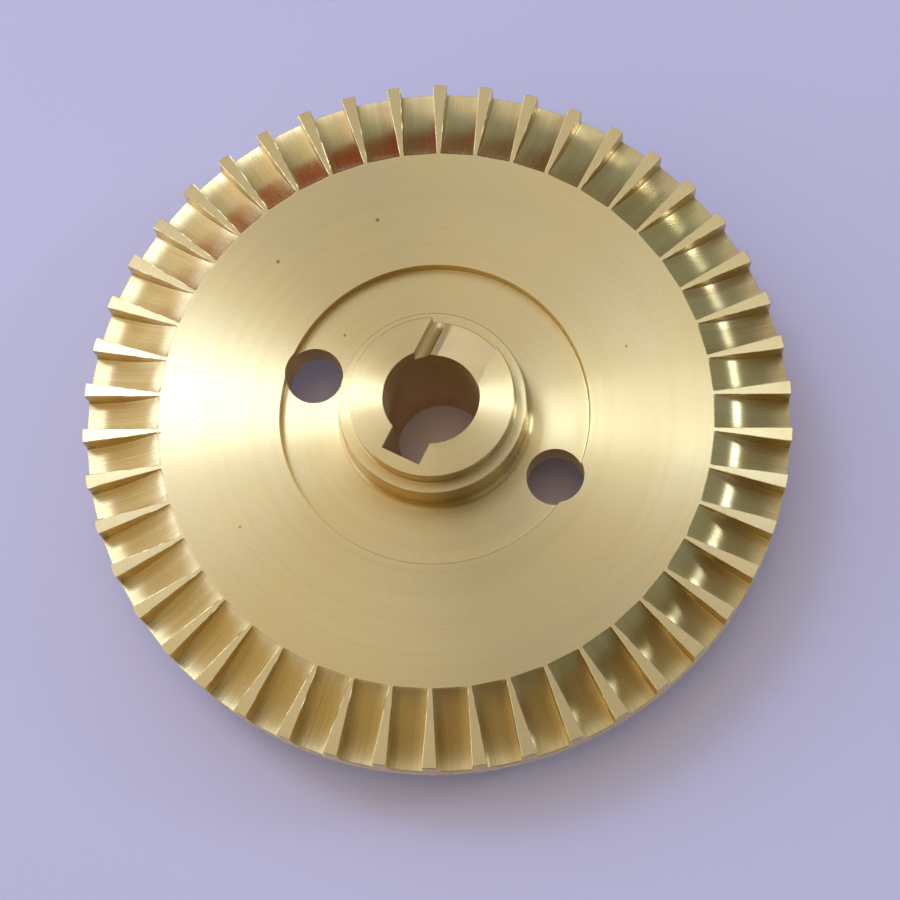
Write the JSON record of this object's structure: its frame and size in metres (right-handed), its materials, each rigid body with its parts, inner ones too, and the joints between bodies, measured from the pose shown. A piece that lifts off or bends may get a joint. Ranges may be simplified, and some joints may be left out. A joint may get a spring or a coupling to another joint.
{
  "type": "pump impeller",
  "caption": "One-piece brass impeller of a peripheral pump: a disc with a ring of short radial vanes on its front, and a stepped hub with a keyed bore.",
  "frame": {"origin": "on the bore axis, in the plane of the rear hub face that the impeller stands on", "axes": "+Z along the bore axis, out of the front hub face; -Y from the axis through the middle of the keyway"},
  "size_m": [0.09, 0.09, 0.024],
  "materials": {
    "brass": "fine turned and milled, uncoated"
  },
  "bodies": {
    "root": {"impeller": "brass"}
  },
  "joints": []
}
